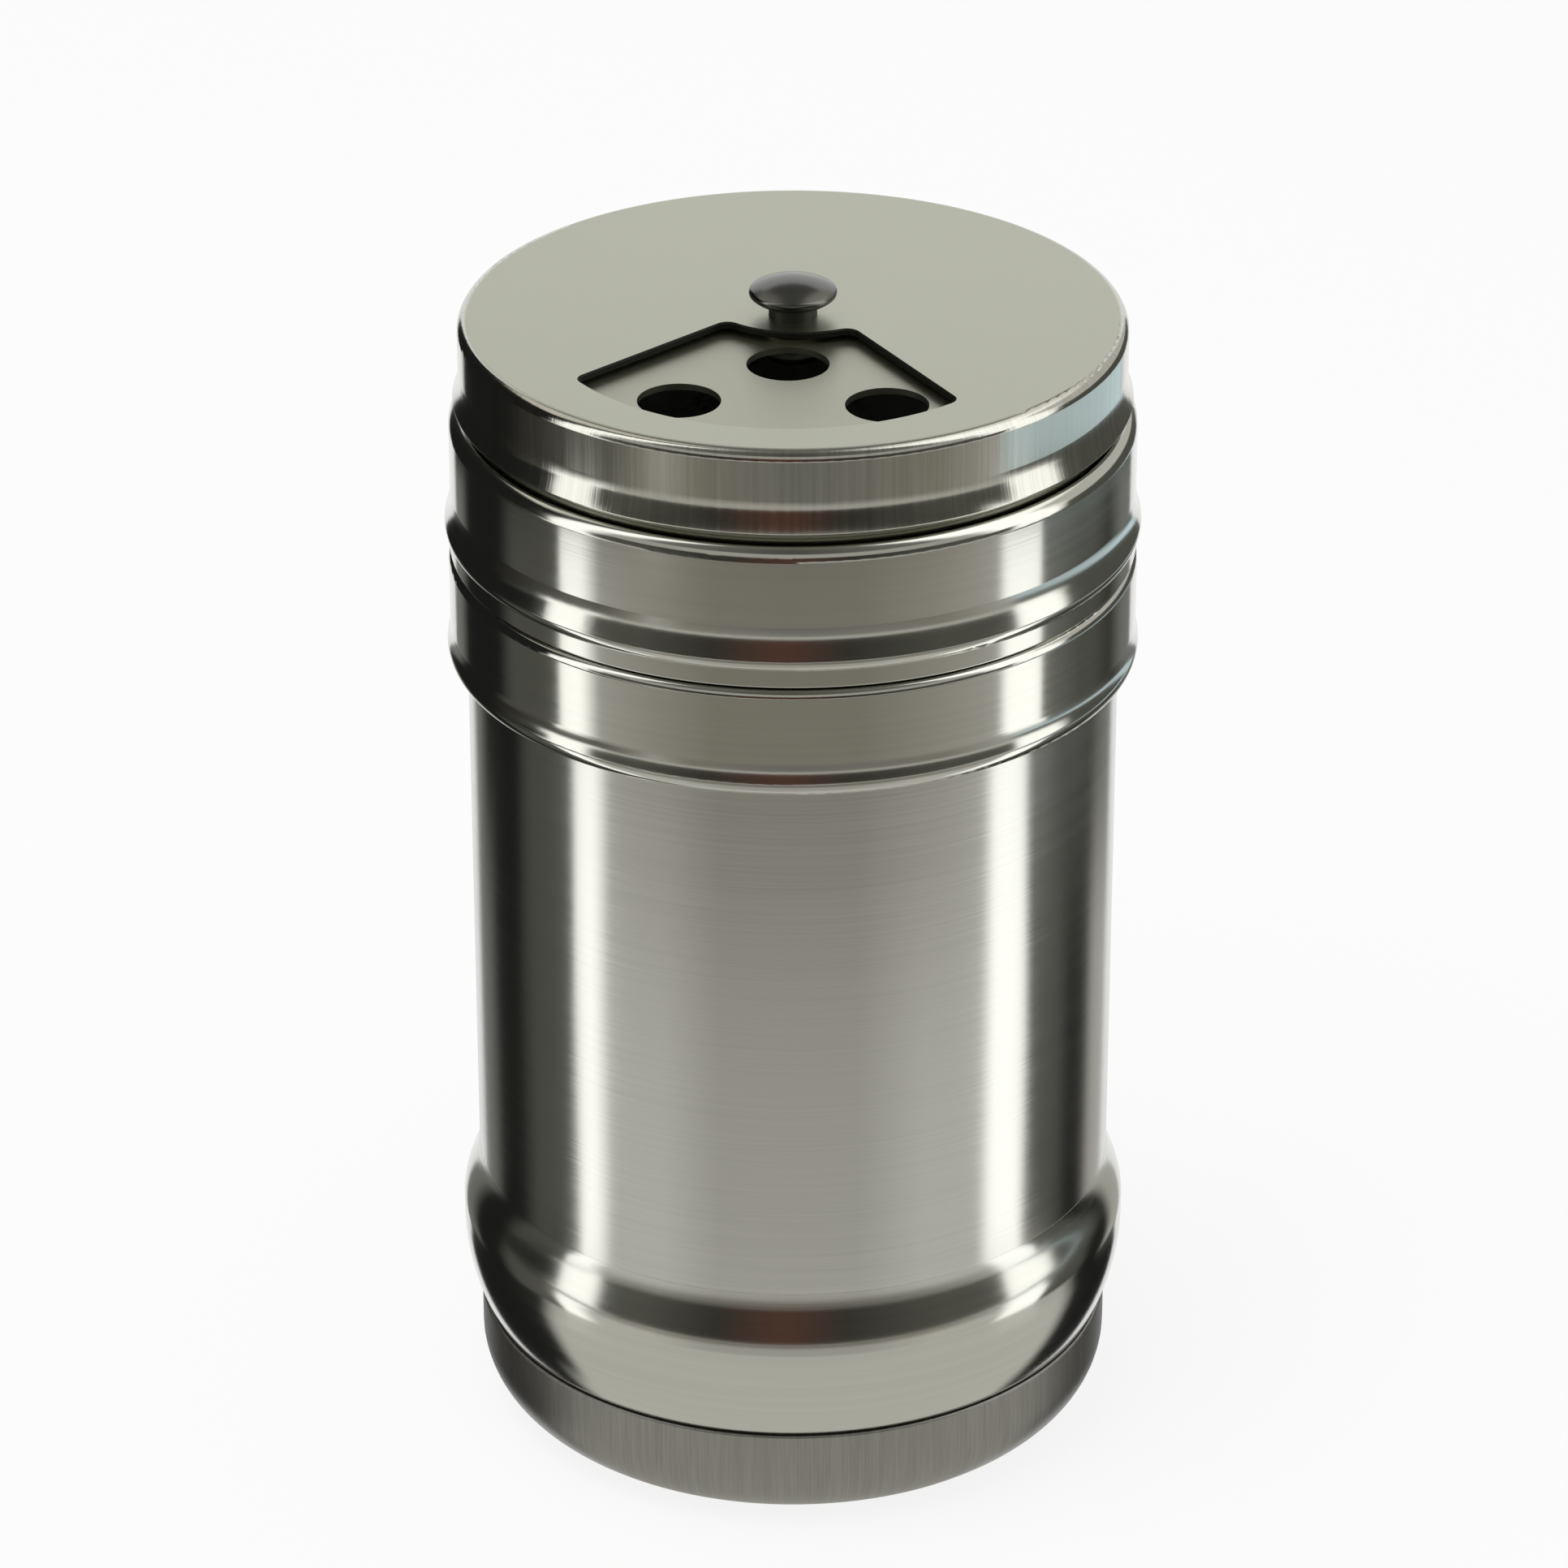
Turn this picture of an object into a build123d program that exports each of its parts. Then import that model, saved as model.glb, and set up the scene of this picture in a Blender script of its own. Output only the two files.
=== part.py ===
from build123d import *
import os
from math import cos, radians, sin, sqrt

# A stainless steel spice shaker. A cap with a sector window turns on a riveted pivot over a perforated plate.
# Cap and plate are carried by a threaded lid, which closes the neck of a tall jar. The jar is a tube that
# stands in a base shell over a shallow foot. Its upper end is covered by a shoulder band with a neck.
# Millimetres, +Z up. The origin is the centre of the ring that the foot stands on, and the window faces -Y.

# ---------------------------------------------------------------- sheet and fits
FOOT_WALL = 0.5
TUBE_WALL = 0.5
BASE_WALL = 0.45
BAND_WALL = 0.5
NECK_WALL = 0.6
COLLAR_WALL = 0.6
CAP_WALL = 0.5
PLATE_WALL = 0.5
PRESS_GAP = 0.05            # radial gap left between pieces that are pressed, crimped or welded together
BELL_GAP = 0.1              # radial gap between the tube's belled end and the shoulder band
PIVOT_GAP = 0.05            # radial running clearance of the pivot's shank
SKIRT_GAP = 0.35            # radial gap between the cap's skirt and the plate's wall
EDGE_GAP = 0.2              # height of the fine seams between stacked shells

# ---------------------------------------------------------------- jar
TUBE_RADIUS = 24.6          # the radii of the jar and the lid are steps from this one
TUBE_LENGTH = 42.5          # part of the tube that shows between the base shell and the shoulder band
TUBE_LIFT = 2.0             # its lower end stands this much inside the base shell
BELL_LIFT = 2.0             # its upper end widens to fill the band from this far inside it
BELL_SLOPE = 2.0

FOOT_STEP = 0.05
FOOT_HEIGHT = 8.35
FOOT_ROUNDING = 4.8
FOOT_EDGE = 0.2             # rounded edge where the foot's wall is set in to pass up inside the shells
STANDING_RING = 2.45        # width of the flat that the foot stands on
RECESS_HEIGHT = 0.9         # raised middle of the foot's underside
RECESS_SLOPE = 1.4
RECESS_ROUNDING = 0.5
SPIGOT_LENGTH = 4.5         # part of the foot that reaches up inside the base shell and the tube

SEAM_SET_IN = 0.1           # base shell's lower edge
BULGE_STEP = 1.3
BULGE_TAPER = 6.45          # heights of the bulge, from the seam upwards
BULGE_FLAT = 1.3
BULGE_CROWN = 5.2           # leans in to the rim that grips the tube
BASE_EDGE = 0.25            # rounded outer edge of that rim

BAND_STEP = 1.25
BAND_HEIGHT = 8.35
BAND_ROUNDING = 0.7
BAND_FLARE = 1.4            # height over which the wall flares out to the hem
BAND_FLARE_STEP = 0.2
BAND_ROLL = 1.1             # height of the rolled hem
BAND_TUCK = 0.1             # how far the hem is rolled in under the band's wall

NECK_HEIGHT = 6.6           # above the shoulder
THREAD_ROOM = 0.85          # radial room for the thread between the neck and the lid's insert
NECK_BEND = 0.8
RIM_WIDTH = 1.2             # folded rim of the mouth
RIM_HEIGHT = 1.3
RIM_ROUNDING = 0.4

# ---------------------------------------------------------------- lid
COLLAR_SET_IN = 0.2         # from the band below
COLLAR_HEIGHT = 11.05
COLLAR_ROUNDING = 1.2
COLLAR_FLARE = 2.3
COLLAR_FLARE_STEP = 0.4
COLLAR_ROLL = 1.05
SKIRT_HEIGHT = 1.4          # plain edge below the collar's hem
SKIRT_STEP = 0.1
SKIRT_EDGE = 0.15

INSERT_WALL = 1.7           # threaded plastic ring pressed into the collar
INSERT_LIFT = 0.5           # its lower edge stands this much inside the collar
INSERT_CHAMFER = 0.5        # lead-in of the thread
GASKET_HEIGHT = 1.0
SEAL_GAP = 0.1              # between the gasket and the mouth's rim

BRIM_GRIP = 0.15            # radial gap between the plate's brim and the collar
PLATE_ROUNDING = 0.9

# ---------------------------------------------------------------- rotating cap and pivot
CAP_SET_IN = 0.8            # from the collar below
CAP_HEIGHT = 6.35
CAP_ROUNDING = 0.8
CAP_LIFT = 0.75             # dark gap between the collar and the cap's lip
CAP_LIP_STEP = 0.45
CAP_LIP_FLARE = 2.5
CAP_LIP_ROUNDING = 0.24
SIFT_GAP = 0.4              # between the cap's underside and the plate

WINDOW_TURN = -8.0          # degrees from the front, towards -X
WINDOW_HALF_ANGLE = 38.0
WINDOW_APEX = 4.05          # the straight edges meet this far behind the pivot
WINDOW_INNER = 7.5          # inner edge's radius about that apex
WINDOW_MARGIN = 0.55        # the window's corners reach this far past the coarse holes
WINDOW_BOW = 1.0            # and the middle of its outer edge this much further
WINDOW_CORNER = 0.9
WINDOW_EDGE = 0.12          # broken upper edge of the window

SETTING_TURN = -2.9         # degrees from the front of the coarse setting
SETTING_STEP = 120.0        # coarse, fine and closed settings
COARSE_RADIUS = 3.05
COARSE_WEB = 1.2            # between the inner hole and the disc spring's rim
COARSE_OUTER_REACH = 16.0
COARSE_SPREAD = 28.0        # degrees of the outer pair each side of the setting's centre line
FINE_RADIUS = 1.15
FINE_ROWS = ((7.0, 3, 28.0), (11.0, 5, 34.0), (15.0, 7, 37.0))     # reach, holes, spread each side

SHANK_RADIUS = 1.5          # the pivot's other radii are steps from this one
KNOB_NECK_STEP = 0.3
KNOB_NECK_HEIGHT = 1.0
KNOB_STEP = 1.95
KNOB_EDGE_HEIGHT = 1.9      # height of the head's widest ring above the cap
KNOB_EDGE_ROUNDING = 0.35
KNOB_HEIGHT = 2.9
SPACER_STEP = 1.1
SPACER_HEIGHT = 0.3
SPRING_STEP = 1.4
SPRING_WALL = 0.25
SPRING_RISE = 0.4
SPRING_GAP = 0.05
TAIL_WASHER_STEP = 1.2
TAIL_WASHER_HEIGHT = 0.4
TAIL_STEP = 0.7
TAIL_HEIGHT = 0.8
TAIL_ROUNDING = 0.4

# ---------------------------------------------------------------- levels, from the foot upwards
base_bottom = FOOT_HEIGHT + EDGE_GAP
bulge_low = base_bottom + BULGE_TAPER
bulge_high = bulge_low + BULGE_FLAT
base_top = bulge_high + BULGE_CROWN
tube_bottom = base_bottom + TUBE_LIFT
band_bottom = base_top + TUBE_LENGTH
bell_low = band_bottom + BELL_LIFT
bell_high = bell_low + BELL_SLOPE
shoulder_top = band_bottom + BAND_HEIGHT
flange_top = shoulder_top - BAND_WALL
flange_bottom = flange_top - NECK_WALL
bell_top = flange_bottom - PRESS_GAP
mouth_top = shoulder_top + NECK_HEIGHT
collar_bottom = shoulder_top + EDGE_GAP
collar_top = collar_bottom + COLLAR_HEIGHT
gasket_bottom = mouth_top + SEAL_GAP
ledge_bottom = gasket_bottom + GASKET_HEIGHT
brim_top = collar_top - COLLAR_WALL
brim_bottom = brim_top - PLATE_WALL
cap_bottom = collar_top + CAP_LIFT
cap_top = cap_bottom + CAP_HEIGHT
cap_underside = cap_top - CAP_WALL
plate_top = cap_underside - SIFT_GAP
plate_underside = plate_top - PLATE_WALL

# ---------------------------------------------------------------- radii of the shells
foot_radius = TUBE_RADIUS + FOOT_STEP
recess_radius = foot_radius - FOOT_ROUNDING - STANDING_RING - RECESS_SLOPE
seam_radius = TUBE_RADIUS - SEAM_SET_IN
bulge_radius = TUBE_RADIUS + BULGE_STEP
band_radius = TUBE_RADIUS + BAND_STEP
collar_radius = band_radius - COLLAR_SET_IN
skirt_radius = collar_radius + SKIRT_STEP
cap_radius = collar_radius - CAP_SET_IN
cap_lip_radius = cap_radius + CAP_LIP_STEP

# ---------------------------------------------------------------- radii that follow from fits
spigot_radius = seam_radius - BASE_WALL - PRESS_GAP
base_rim_radius = TUBE_RADIUS + PRESS_GAP + BASE_WALL
band_bore = band_radius - BAND_WALL
bell_radius = band_bore - BELL_GAP
flange_radius = band_radius - BAND_ROUNDING - PRESS_GAP
collar_bore = collar_radius - COLLAR_WALL
insert_radius = collar_bore - PRESS_GAP
insert_bore = insert_radius - INSERT_WALL
neck_radius = insert_bore - THREAD_ROOM
mouth_radius = neck_radius - RIM_WIDTH
plate_radius = cap_radius - CAP_WALL - SKIRT_GAP
brim_radius = collar_bore - BRIM_GRIP
pivot_bore = SHANK_RADIUS + PIVOT_GAP
spring_radius = SHANK_RADIUS + SPRING_STEP
coarse_inner_reach = spring_radius + COARSE_WEB + COARSE_RADIUS
window_outer = COARSE_OUTER_REACH + COARSE_RADIUS + WINDOW_MARGIN


def turned_plane(turn, height):
    """Level plane whose X axis points outwards, turned from the front (-Y) towards +X."""
    heading = radians(turn - 90)
    return Plane(origin=(0, 0, height), x_dir=(cos(heading), sin(heading), 0), z_dir=(0, 0, 1))


def tube_side(inset):
    """Side of the tube and of its belled upper end. The bell is two arcs, upright at both ends."""
    wall = Line((TUBE_RADIUS - inset, tube_bottom), (TUBE_RADIUS - inset, bell_low))
    bell_end = Vector(bell_radius - inset, bell_high)
    first = TangentArc(wall @ 1, (wall @ 1 + bell_end) * 0.5, tangent=(0, 1))
    second = TangentArc(first @ 1, bell_end, tangent=first % 1)
    return wall, Line(second @ 1, (bell_radius - inset, bell_top))


def base_side(inset, top):
    """Side of the base shell: a taper out from the seam, a short flat, and a crown that leans in to a rim."""
    flat = Line((bulge_radius - inset, bulge_low), (bulge_radius - inset, bulge_high))
    taper = TangentArc(flat @ 0, (seam_radius - inset, base_bottom), tangent=(0, -1))
    crown = TangentArc(flat @ 1, (base_rim_radius - inset, top), tangent=(0, 1))
    return taper, crown


def hem(wall_end, flare, step, end):
    """Lower edge of a pressed band: its wall flares out over a height, then rolls back in to the end point."""
    flared = TangentArc(wall_end, wall_end + Vector(step, -flare), tangent=(0, -1))
    return TangentArc(flared @ 1, end, tangent=flared % 1)


# ================================================================ jar

# Foot: a shallow drawn cup. Its middle is pushed up, so that it stands on a ring.
foot_outside = [
    (0, RECESS_HEIGHT),
    (recess_radius, RECESS_HEIGHT),
    (recess_radius + RECESS_SLOPE, 0),
    (foot_radius, 0),
    (foot_radius, FOOT_HEIGHT),
    (spigot_radius, FOOT_HEIGHT),
    (spigot_radius, FOOT_HEIGHT + SPIGOT_LENGTH),
]
foot_inside = [
    (0, RECESS_HEIGHT + FOOT_WALL),
    (recess_radius, RECESS_HEIGHT + FOOT_WALL),
    (recess_radius + RECESS_SLOPE, FOOT_WALL),
    (foot_radius - FOOT_WALL, FOOT_WALL),
    (foot_radius - FOOT_WALL, FOOT_HEIGHT - FOOT_WALL),
    (spigot_radius - FOOT_WALL, FOOT_HEIGHT - FOOT_WALL),
    (spigot_radius - FOOT_WALL, FOOT_HEIGHT + SPIGOT_LENGTH),
]
with BuildPart() as foot_cup:
    with BuildSketch(Plane.XZ):
        with BuildLine():
            outside = FilletPolyline(
                *foot_outside, radius=[RECESS_ROUNDING, RECESS_ROUNDING, FOOT_ROUNDING, FOOT_EDGE, 0]
            )
            inside = FilletPolyline(
                *foot_inside, radius=[RECESS_ROUNDING, RECESS_ROUNDING, FOOT_ROUNDING - FOOT_WALL, 0, 0]
            )
            Line(outside @ 0, inside @ 0)
            Line(outside @ 1, inside @ 1)
        make_face()
    revolve(axis=Axis.Z)

# Tube: plain, with its upper end belled out to fill the shoulder band.
with BuildPart() as body_tube:
    with BuildSketch(Plane.XZ):
        with BuildLine():
            outer_wall, outer_bell = tube_side(0)
            inner_wall, inner_bell = tube_side(TUBE_WALL)
            Line(outer_wall @ 0, inner_wall @ 0)
            Line(outer_bell @ 1, inner_bell @ 1)
        make_face()
    revolve(axis=Axis.Z)

# Base shell: a bulged ring round the tube's lower end. Its rim grips the tube.
with BuildPart() as base_shell:
    with BuildSketch(Plane.XZ):
        with BuildLine():
            outer_taper, outer_crown = base_side(0, base_top - BASE_EDGE)
            inner_taper, inner_crown = base_side(BASE_WALL, base_top)
            rim_edge = TangentArc(
                outer_crown @ 1, (base_rim_radius - BASE_EDGE, base_top), tangent=outer_crown % 1
            )
            Line(rim_edge @ 1, inner_crown @ 1)
            Line(outer_taper @ 1, inner_taper @ 1)
        make_face()
    revolve(axis=Axis.Z)

# Shoulder band: drawn over the tube's bell and turned in at the top. Its lower hem stands clear of the tube.
with BuildPart() as shoulder_band:
    with BuildSketch(Plane.XZ):
        with BuildLine():
            top = Line((neck_radius + PRESS_GAP, shoulder_top), (band_radius - BAND_ROUNDING, shoulder_top))
            corner = RadiusArc(top @ 1, (band_radius, shoulder_top - BAND_ROUNDING), BAND_ROUNDING)
            side = Line(corner @ 1, (band_radius, band_bottom + BAND_ROLL + BAND_FLARE))
            rolled = hem(side @ 1, BAND_FLARE, BAND_FLARE_STEP, (band_radius - BAND_TUCK, band_bottom))
            inside = FilletPolyline(
                rolled @ 1,
                (band_bore, band_bottom),
                (band_bore, flange_top),
                (neck_radius + PRESS_GAP, flange_top),
                radius=[0, BAND_ROUNDING - BAND_WALL],
            )
            Line(inside @ 1, top @ 0)
        make_face()
    revolve(axis=Axis.Z)

# Neck: stands through the shoulder on a flange, which is held between it and the tube. Its rim is folded.
neck_bore = neck_radius - NECK_WALL
with BuildPart() as neck_ring:
    with BuildSketch(Plane.XZ):
        with BuildLine():
            outside = Polyline(
                (flange_radius, flange_bottom),
                (flange_radius, flange_top),
                (neck_radius, flange_top),
                (neck_radius, mouth_top - RIM_ROUNDING),
            )
            rim_out = RadiusArc(outside @ 1, (neck_radius - RIM_ROUNDING, mouth_top), -RIM_ROUNDING)
            rim_flat = Line(rim_out @ 1, (mouth_radius + RIM_ROUNDING, mouth_top))
            rim_in = RadiusArc(rim_flat @ 1, (mouth_radius, mouth_top - RIM_ROUNDING), -RIM_ROUNDING)
            bore = Polyline(
                rim_in @ 1,
                (mouth_radius, mouth_top - RIM_HEIGHT),
                (neck_bore, mouth_top - RIM_HEIGHT),
                (neck_bore, flange_bottom + NECK_BEND),
            )
            bend = RadiusArc(bore @ 1, (neck_bore + NECK_BEND, flange_bottom), -NECK_BEND)
            Line(bend @ 1, outside @ 0)
        make_face()
    revolve(axis=Axis.Z)

# ================================================================ lid

# Collar: a drawn band with a rolled hem, below which a plain edge meets the jar's shoulder.
hem_bottom = collar_bottom + SKIRT_HEIGHT
with BuildPart() as lid_collar:
    with BuildSketch(Plane.XZ):
        with BuildLine():
            top = Line((plate_radius + PRESS_GAP, collar_top), (collar_radius - COLLAR_ROUNDING, collar_top))
            corner = RadiusArc(top @ 1, (collar_radius, collar_top - COLLAR_ROUNDING), COLLAR_ROUNDING)
            side = Line(corner @ 1, (collar_radius, hem_bottom + COLLAR_ROLL + COLLAR_FLARE))
            rolled = hem(side @ 1, COLLAR_FLARE, COLLAR_FLARE_STEP, (skirt_radius, hem_bottom))
            inside = FilletPolyline(
                rolled @ 1,
                (skirt_radius, collar_bottom),
                (collar_bore, collar_bottom),
                (collar_bore, brim_top),
                (plate_radius + PRESS_GAP, brim_top),
                radius=[SKIRT_EDGE, 0, 0],
            )
            Line(inside @ 1, top @ 0)
        make_face()
    revolve(axis=Axis.Z)

# Sifter plate: a hat-shaped pressing. Its brim is gripped between the collar's shoulder and the insert.
with BuildPart() as sifter_plate:
    with BuildSketch(Plane.XZ):
        with BuildLine():
            outside = FilletPolyline(
                (0, plate_top), (plate_radius, plate_top), (plate_radius, brim_top), radius=[PLATE_ROUNDING]
            )
            inside = FilletPolyline(
                (0, plate_underside),
                (plate_radius - PLATE_WALL, plate_underside),
                (plate_radius - PLATE_WALL, brim_bottom),
                radius=[PLATE_ROUNDING - PLATE_WALL],
            )
            Polyline(outside @ 1, (brim_radius, brim_top), (brim_radius, brim_bottom), inside @ 1)
            Line(outside @ 0, inside @ 0)
        make_face()
    revolve(axis=Axis.Z)
    with BuildSketch(Plane.XY.offset(plate_top)):
        Circle(pivot_bore)
    with BuildSketch(turned_plane(SETTING_TURN, plate_top)):
        with Locations((coarse_inner_reach, 0)):
            Circle(COARSE_RADIUS)
        with PolarLocations(
            COARSE_OUTER_REACH, 2, start_angle=-COARSE_SPREAD, angular_range=2 * COARSE_SPREAD, endpoint=True
        ):
            Circle(COARSE_RADIUS)
    with BuildSketch(turned_plane(SETTING_TURN + SETTING_STEP, plate_top)):
        for reach, holes, spread in FINE_ROWS:
            with PolarLocations(
                reach, holes, start_angle=-spread, angular_range=2 * spread, endpoint=True
            ):
                Circle(FINE_RADIUS)
    extrude(amount=-PLATE_WALL, mode=Mode.SUBTRACT)

# Thread insert: a moulded ring pressed into the collar. Its ledge holds the gasket over the mouth.
insert_bottom = collar_bottom + INSERT_LIFT
with BuildPart() as thread_insert:
    with BuildSketch(Plane.XZ):
        with BuildLine():
            Polyline(
                (insert_radius, insert_bottom),
                (insert_radius, brim_bottom),
                (mouth_radius, brim_bottom),
                (mouth_radius, ledge_bottom),
                (insert_bore, ledge_bottom),
                (insert_bore, insert_bottom),
                close=True,
            )
        make_face()
    revolve(axis=Axis.Z)
    mouth_edge = edges().filter_by(GeomType.CIRCLE).group_by(Axis.Z)[0].sort_by(SortBy.RADIUS)[0]
    chamfer(mouth_edge, INSERT_CHAMFER)

# Gasket: a soft ring under the ledge.
with BuildPart() as lid_gasket:
    with BuildSketch(Plane.XZ):
        with BuildLine():
            Polyline(
                (mouth_radius, gasket_bottom),
                (insert_bore - PRESS_GAP, gasket_bottom),
                (insert_bore - PRESS_GAP, ledge_bottom),
                (mouth_radius, ledge_bottom),
                close=True,
            )
        make_face()
    revolve(axis=Axis.Z)

# ================================================================ rotating cap and pivot

# Cap: a flat disc with a short skirt, which flares at its lip, and a sector window with broken edges.
edge_reach = WINDOW_APEX * cos(radians(WINDOW_HALF_ANGLE)) + sqrt(
    window_outer**2 - (WINDOW_APEX * sin(radians(WINDOW_HALF_ANGLE))) ** 2
)


def window_corner(reach, side):
    """Point of a straight window edge, at a reach from the apex behind the pivot."""
    angle = radians(WINDOW_HALF_ANGLE)
    return (reach * cos(angle) - WINDOW_APEX, side * reach * sin(angle))


with BuildPart() as rotating_cap:
    with BuildSketch(Plane.XZ):
        with BuildLine():
            top = Line((0, cap_top), (cap_radius - CAP_ROUNDING, cap_top))
            edge = RadiusArc(top @ 1, (cap_radius, cap_top - CAP_ROUNDING), CAP_ROUNDING)
            skirt = Line(edge @ 1, (cap_radius, cap_bottom + CAP_LIP_FLARE))
            flare = TangentArc(skirt @ 1, (cap_lip_radius, cap_bottom + CAP_LIP_ROUNDING), tangent=(0, -1))
            lip = RadiusArc(flare @ 1, (cap_lip_radius - CAP_LIP_ROUNDING, cap_bottom), CAP_LIP_ROUNDING)
            inner_lip = Line(lip @ 1, (cap_lip_radius - CAP_WALL, cap_bottom))
            inner_flare = TangentArc(
                (cap_radius - CAP_WALL, cap_bottom + CAP_LIP_FLARE), inner_lip @ 1, tangent=(0, -1)
            )
            inner_skirt = Line(inner_flare @ 0, (cap_radius - CAP_WALL, cap_top - CAP_ROUNDING))
            inner_edge = RadiusArc(
                inner_skirt @ 1, (cap_radius - CAP_ROUNDING, cap_underside), CAP_WALL - CAP_ROUNDING
            )
            Polyline(inner_edge @ 1, (0, cap_underside), top @ 0)
        make_face()
    revolve(axis=Axis.Z)
    with BuildSketch(turned_plane(WINDOW_TURN, cap_top)) as window:
        with BuildLine():
            right = Line(window_corner(WINDOW_INNER, -1), window_corner(edge_reach, -1))
            outer = ThreePointArc(right @ 1, (window_outer + WINDOW_BOW, 0), window_corner(edge_reach, 1))
            left = Line(outer @ 1, window_corner(WINDOW_INNER, 1))
            ThreePointArc(left @ 1, (WINDOW_INNER - WINDOW_APEX, 0), right @ 0)
        make_face()
        fillet(window.vertices(), WINDOW_CORNER)
    extrude(amount=-CAP_WALL, mode=Mode.SUBTRACT)
    cap_face = faces().filter_by(Plane.XY).sort_by(Axis.Z)[-1]
    chamfer(cap_face.inner_wires()[0].edges(), WINDOW_EDGE)
    with BuildSketch(Plane.XY.offset(cap_top)):
        Circle(SHANK_RADIUS)
    extrude(amount=-CAP_WALL, mode=Mode.SUBTRACT)

# Spacer: holds the turning cap clear of the plate.
with BuildPart() as spacer_washer:
    with BuildSketch(Plane.XY.offset(cap_underside)):
        Circle(SHANK_RADIUS + SPACER_STEP)
        Circle(SHANK_RADIUS, mode=Mode.SUBTRACT)
    extrude(amount=-SPACER_HEIGHT)

# Disc spring: a cupped washer that bears up against the plate's underside and gives the cap its drag.
spring_high = plate_underside - SPRING_GAP
spring_low = spring_high - SPRING_RISE - SPRING_WALL
with BuildPart() as disc_spring:
    with BuildSketch(Plane.XZ):
        with BuildLine():
            Polyline(
                (pivot_bore, spring_low),
                (spring_radius, spring_low + SPRING_RISE),
                (spring_radius, spring_high),
                (pivot_bore, spring_low + SPRING_WALL),
                close=True,
            )
        make_face()
    revolve(axis=Axis.Z)

# Tail washer: carries the spring, and is held up by the clinched tail.
with BuildPart() as tail_washer:
    with BuildSketch(Plane.XY.offset(spring_low)):
        Circle(SHANK_RADIUS + TAIL_WASHER_STEP)
        Circle(SHANK_RADIUS, mode=Mode.SUBTRACT)
    extrude(amount=-TAIL_WASHER_HEIGHT)

# Pivot knob: one turned rivet, with a mushroom head over a waisted neck, a shank and a clinched tail.
tail_top = spring_low - TAIL_WASHER_HEIGHT
tail_bottom = tail_top - TAIL_HEIGHT
tail_radius = SHANK_RADIUS + TAIL_STEP
knob_neck_radius = SHANK_RADIUS + KNOB_NECK_STEP
knob_radius = SHANK_RADIUS + KNOB_STEP
knob_edge = cap_top + KNOB_EDGE_HEIGHT
knob_top = cap_top + KNOB_HEIGHT
with BuildPart() as pivot_knob:
    with BuildSketch(Plane.XZ):
        with BuildLine():
            dome = TangentArc((0, knob_top), (knob_radius, knob_edge), tangent=(1, 0))
            under_head = TangentArc(
                (knob_neck_radius, cap_top + KNOB_NECK_HEIGHT), dome @ 1, tangent=(1, 0)
            )
            Polyline(under_head @ 0, (knob_neck_radius, cap_top), (SHANK_RADIUS, cap_top))
            shank = Polyline((SHANK_RADIUS, cap_top), (SHANK_RADIUS, tail_top), (tail_radius, tail_top))
            tail_side = Line(shank @ 1, (tail_radius, tail_bottom + TAIL_ROUNDING))
            tail_edge = RadiusArc(tail_side @ 1, (tail_radius - TAIL_ROUNDING, tail_bottom), TAIL_ROUNDING)
            Polyline(tail_edge @ 1, (0, tail_bottom), dome @ 0)
        make_face()
        fillet(vertices().sort_by(Axis.X)[-1], KNOB_EDGE_ROUNDING)
    revolve(axis=Axis.Z)

# ================================================================ one file for each piece
foot_cup.part.label = "foot_cup"
body_tube.part.label = "body_tube"
base_shell.part.label = "base_shell"
shoulder_band.part.label = "shoulder_band"
neck_ring.part.label = "neck_ring"
lid_collar.part.label = "lid_collar"
sifter_plate.part.label = "sifter_plate"
thread_insert.part.label = "thread_insert"
lid_gasket.part.label = "lid_gasket"
rotating_cap.part.label = "rotating_cap"
spacer_washer.part.label = "spacer_washer"
disc_spring.part.label = "disc_spring"
tail_washer.part.label = "tail_washer"
pivot_knob.part.label = "pivot_knob"

os.makedirs("parts", exist_ok=True)
export_step(foot_cup.part, "parts/foot_cup.step")
export_step(body_tube.part, "parts/body_tube.step")
export_step(base_shell.part, "parts/base_shell.step")
export_step(shoulder_band.part, "parts/shoulder_band.step")
export_step(neck_ring.part, "parts/neck_ring.step")
export_step(lid_collar.part, "parts/lid_collar.step")
export_step(sifter_plate.part, "parts/sifter_plate.step")
export_step(thread_insert.part, "parts/thread_insert.step")
export_step(lid_gasket.part, "parts/lid_gasket.step")
export_step(rotating_cap.part, "parts/rotating_cap.step")
export_step(spacer_washer.part, "parts/spacer_washer.step")
export_step(disc_spring.part, "parts/disc_spring.step")
export_step(tail_washer.part, "parts/tail_washer.step")
export_step(pivot_knob.part, "parts/pivot_knob.step")
print("jar", round(shoulder_top, 2), "cap top", round(cap_top, 2), "overall", round(knob_top, 2))
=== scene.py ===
# %% [markdown]
# # A steel spice shaker
#
# The shaker is drawn and pressed from thin stainless steel. Its solids come ready made from the CAD
# model, so this script gives them their finishes, turns the base shell once more with a softer edge,
# adds the screw threads that the solids leave out, and sets a small studio round them. Lengths are
# metres and +Z is up. The window in the cap faces -Y.

# %% Load the frame
from math import cos, pi, radians, sin

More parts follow.
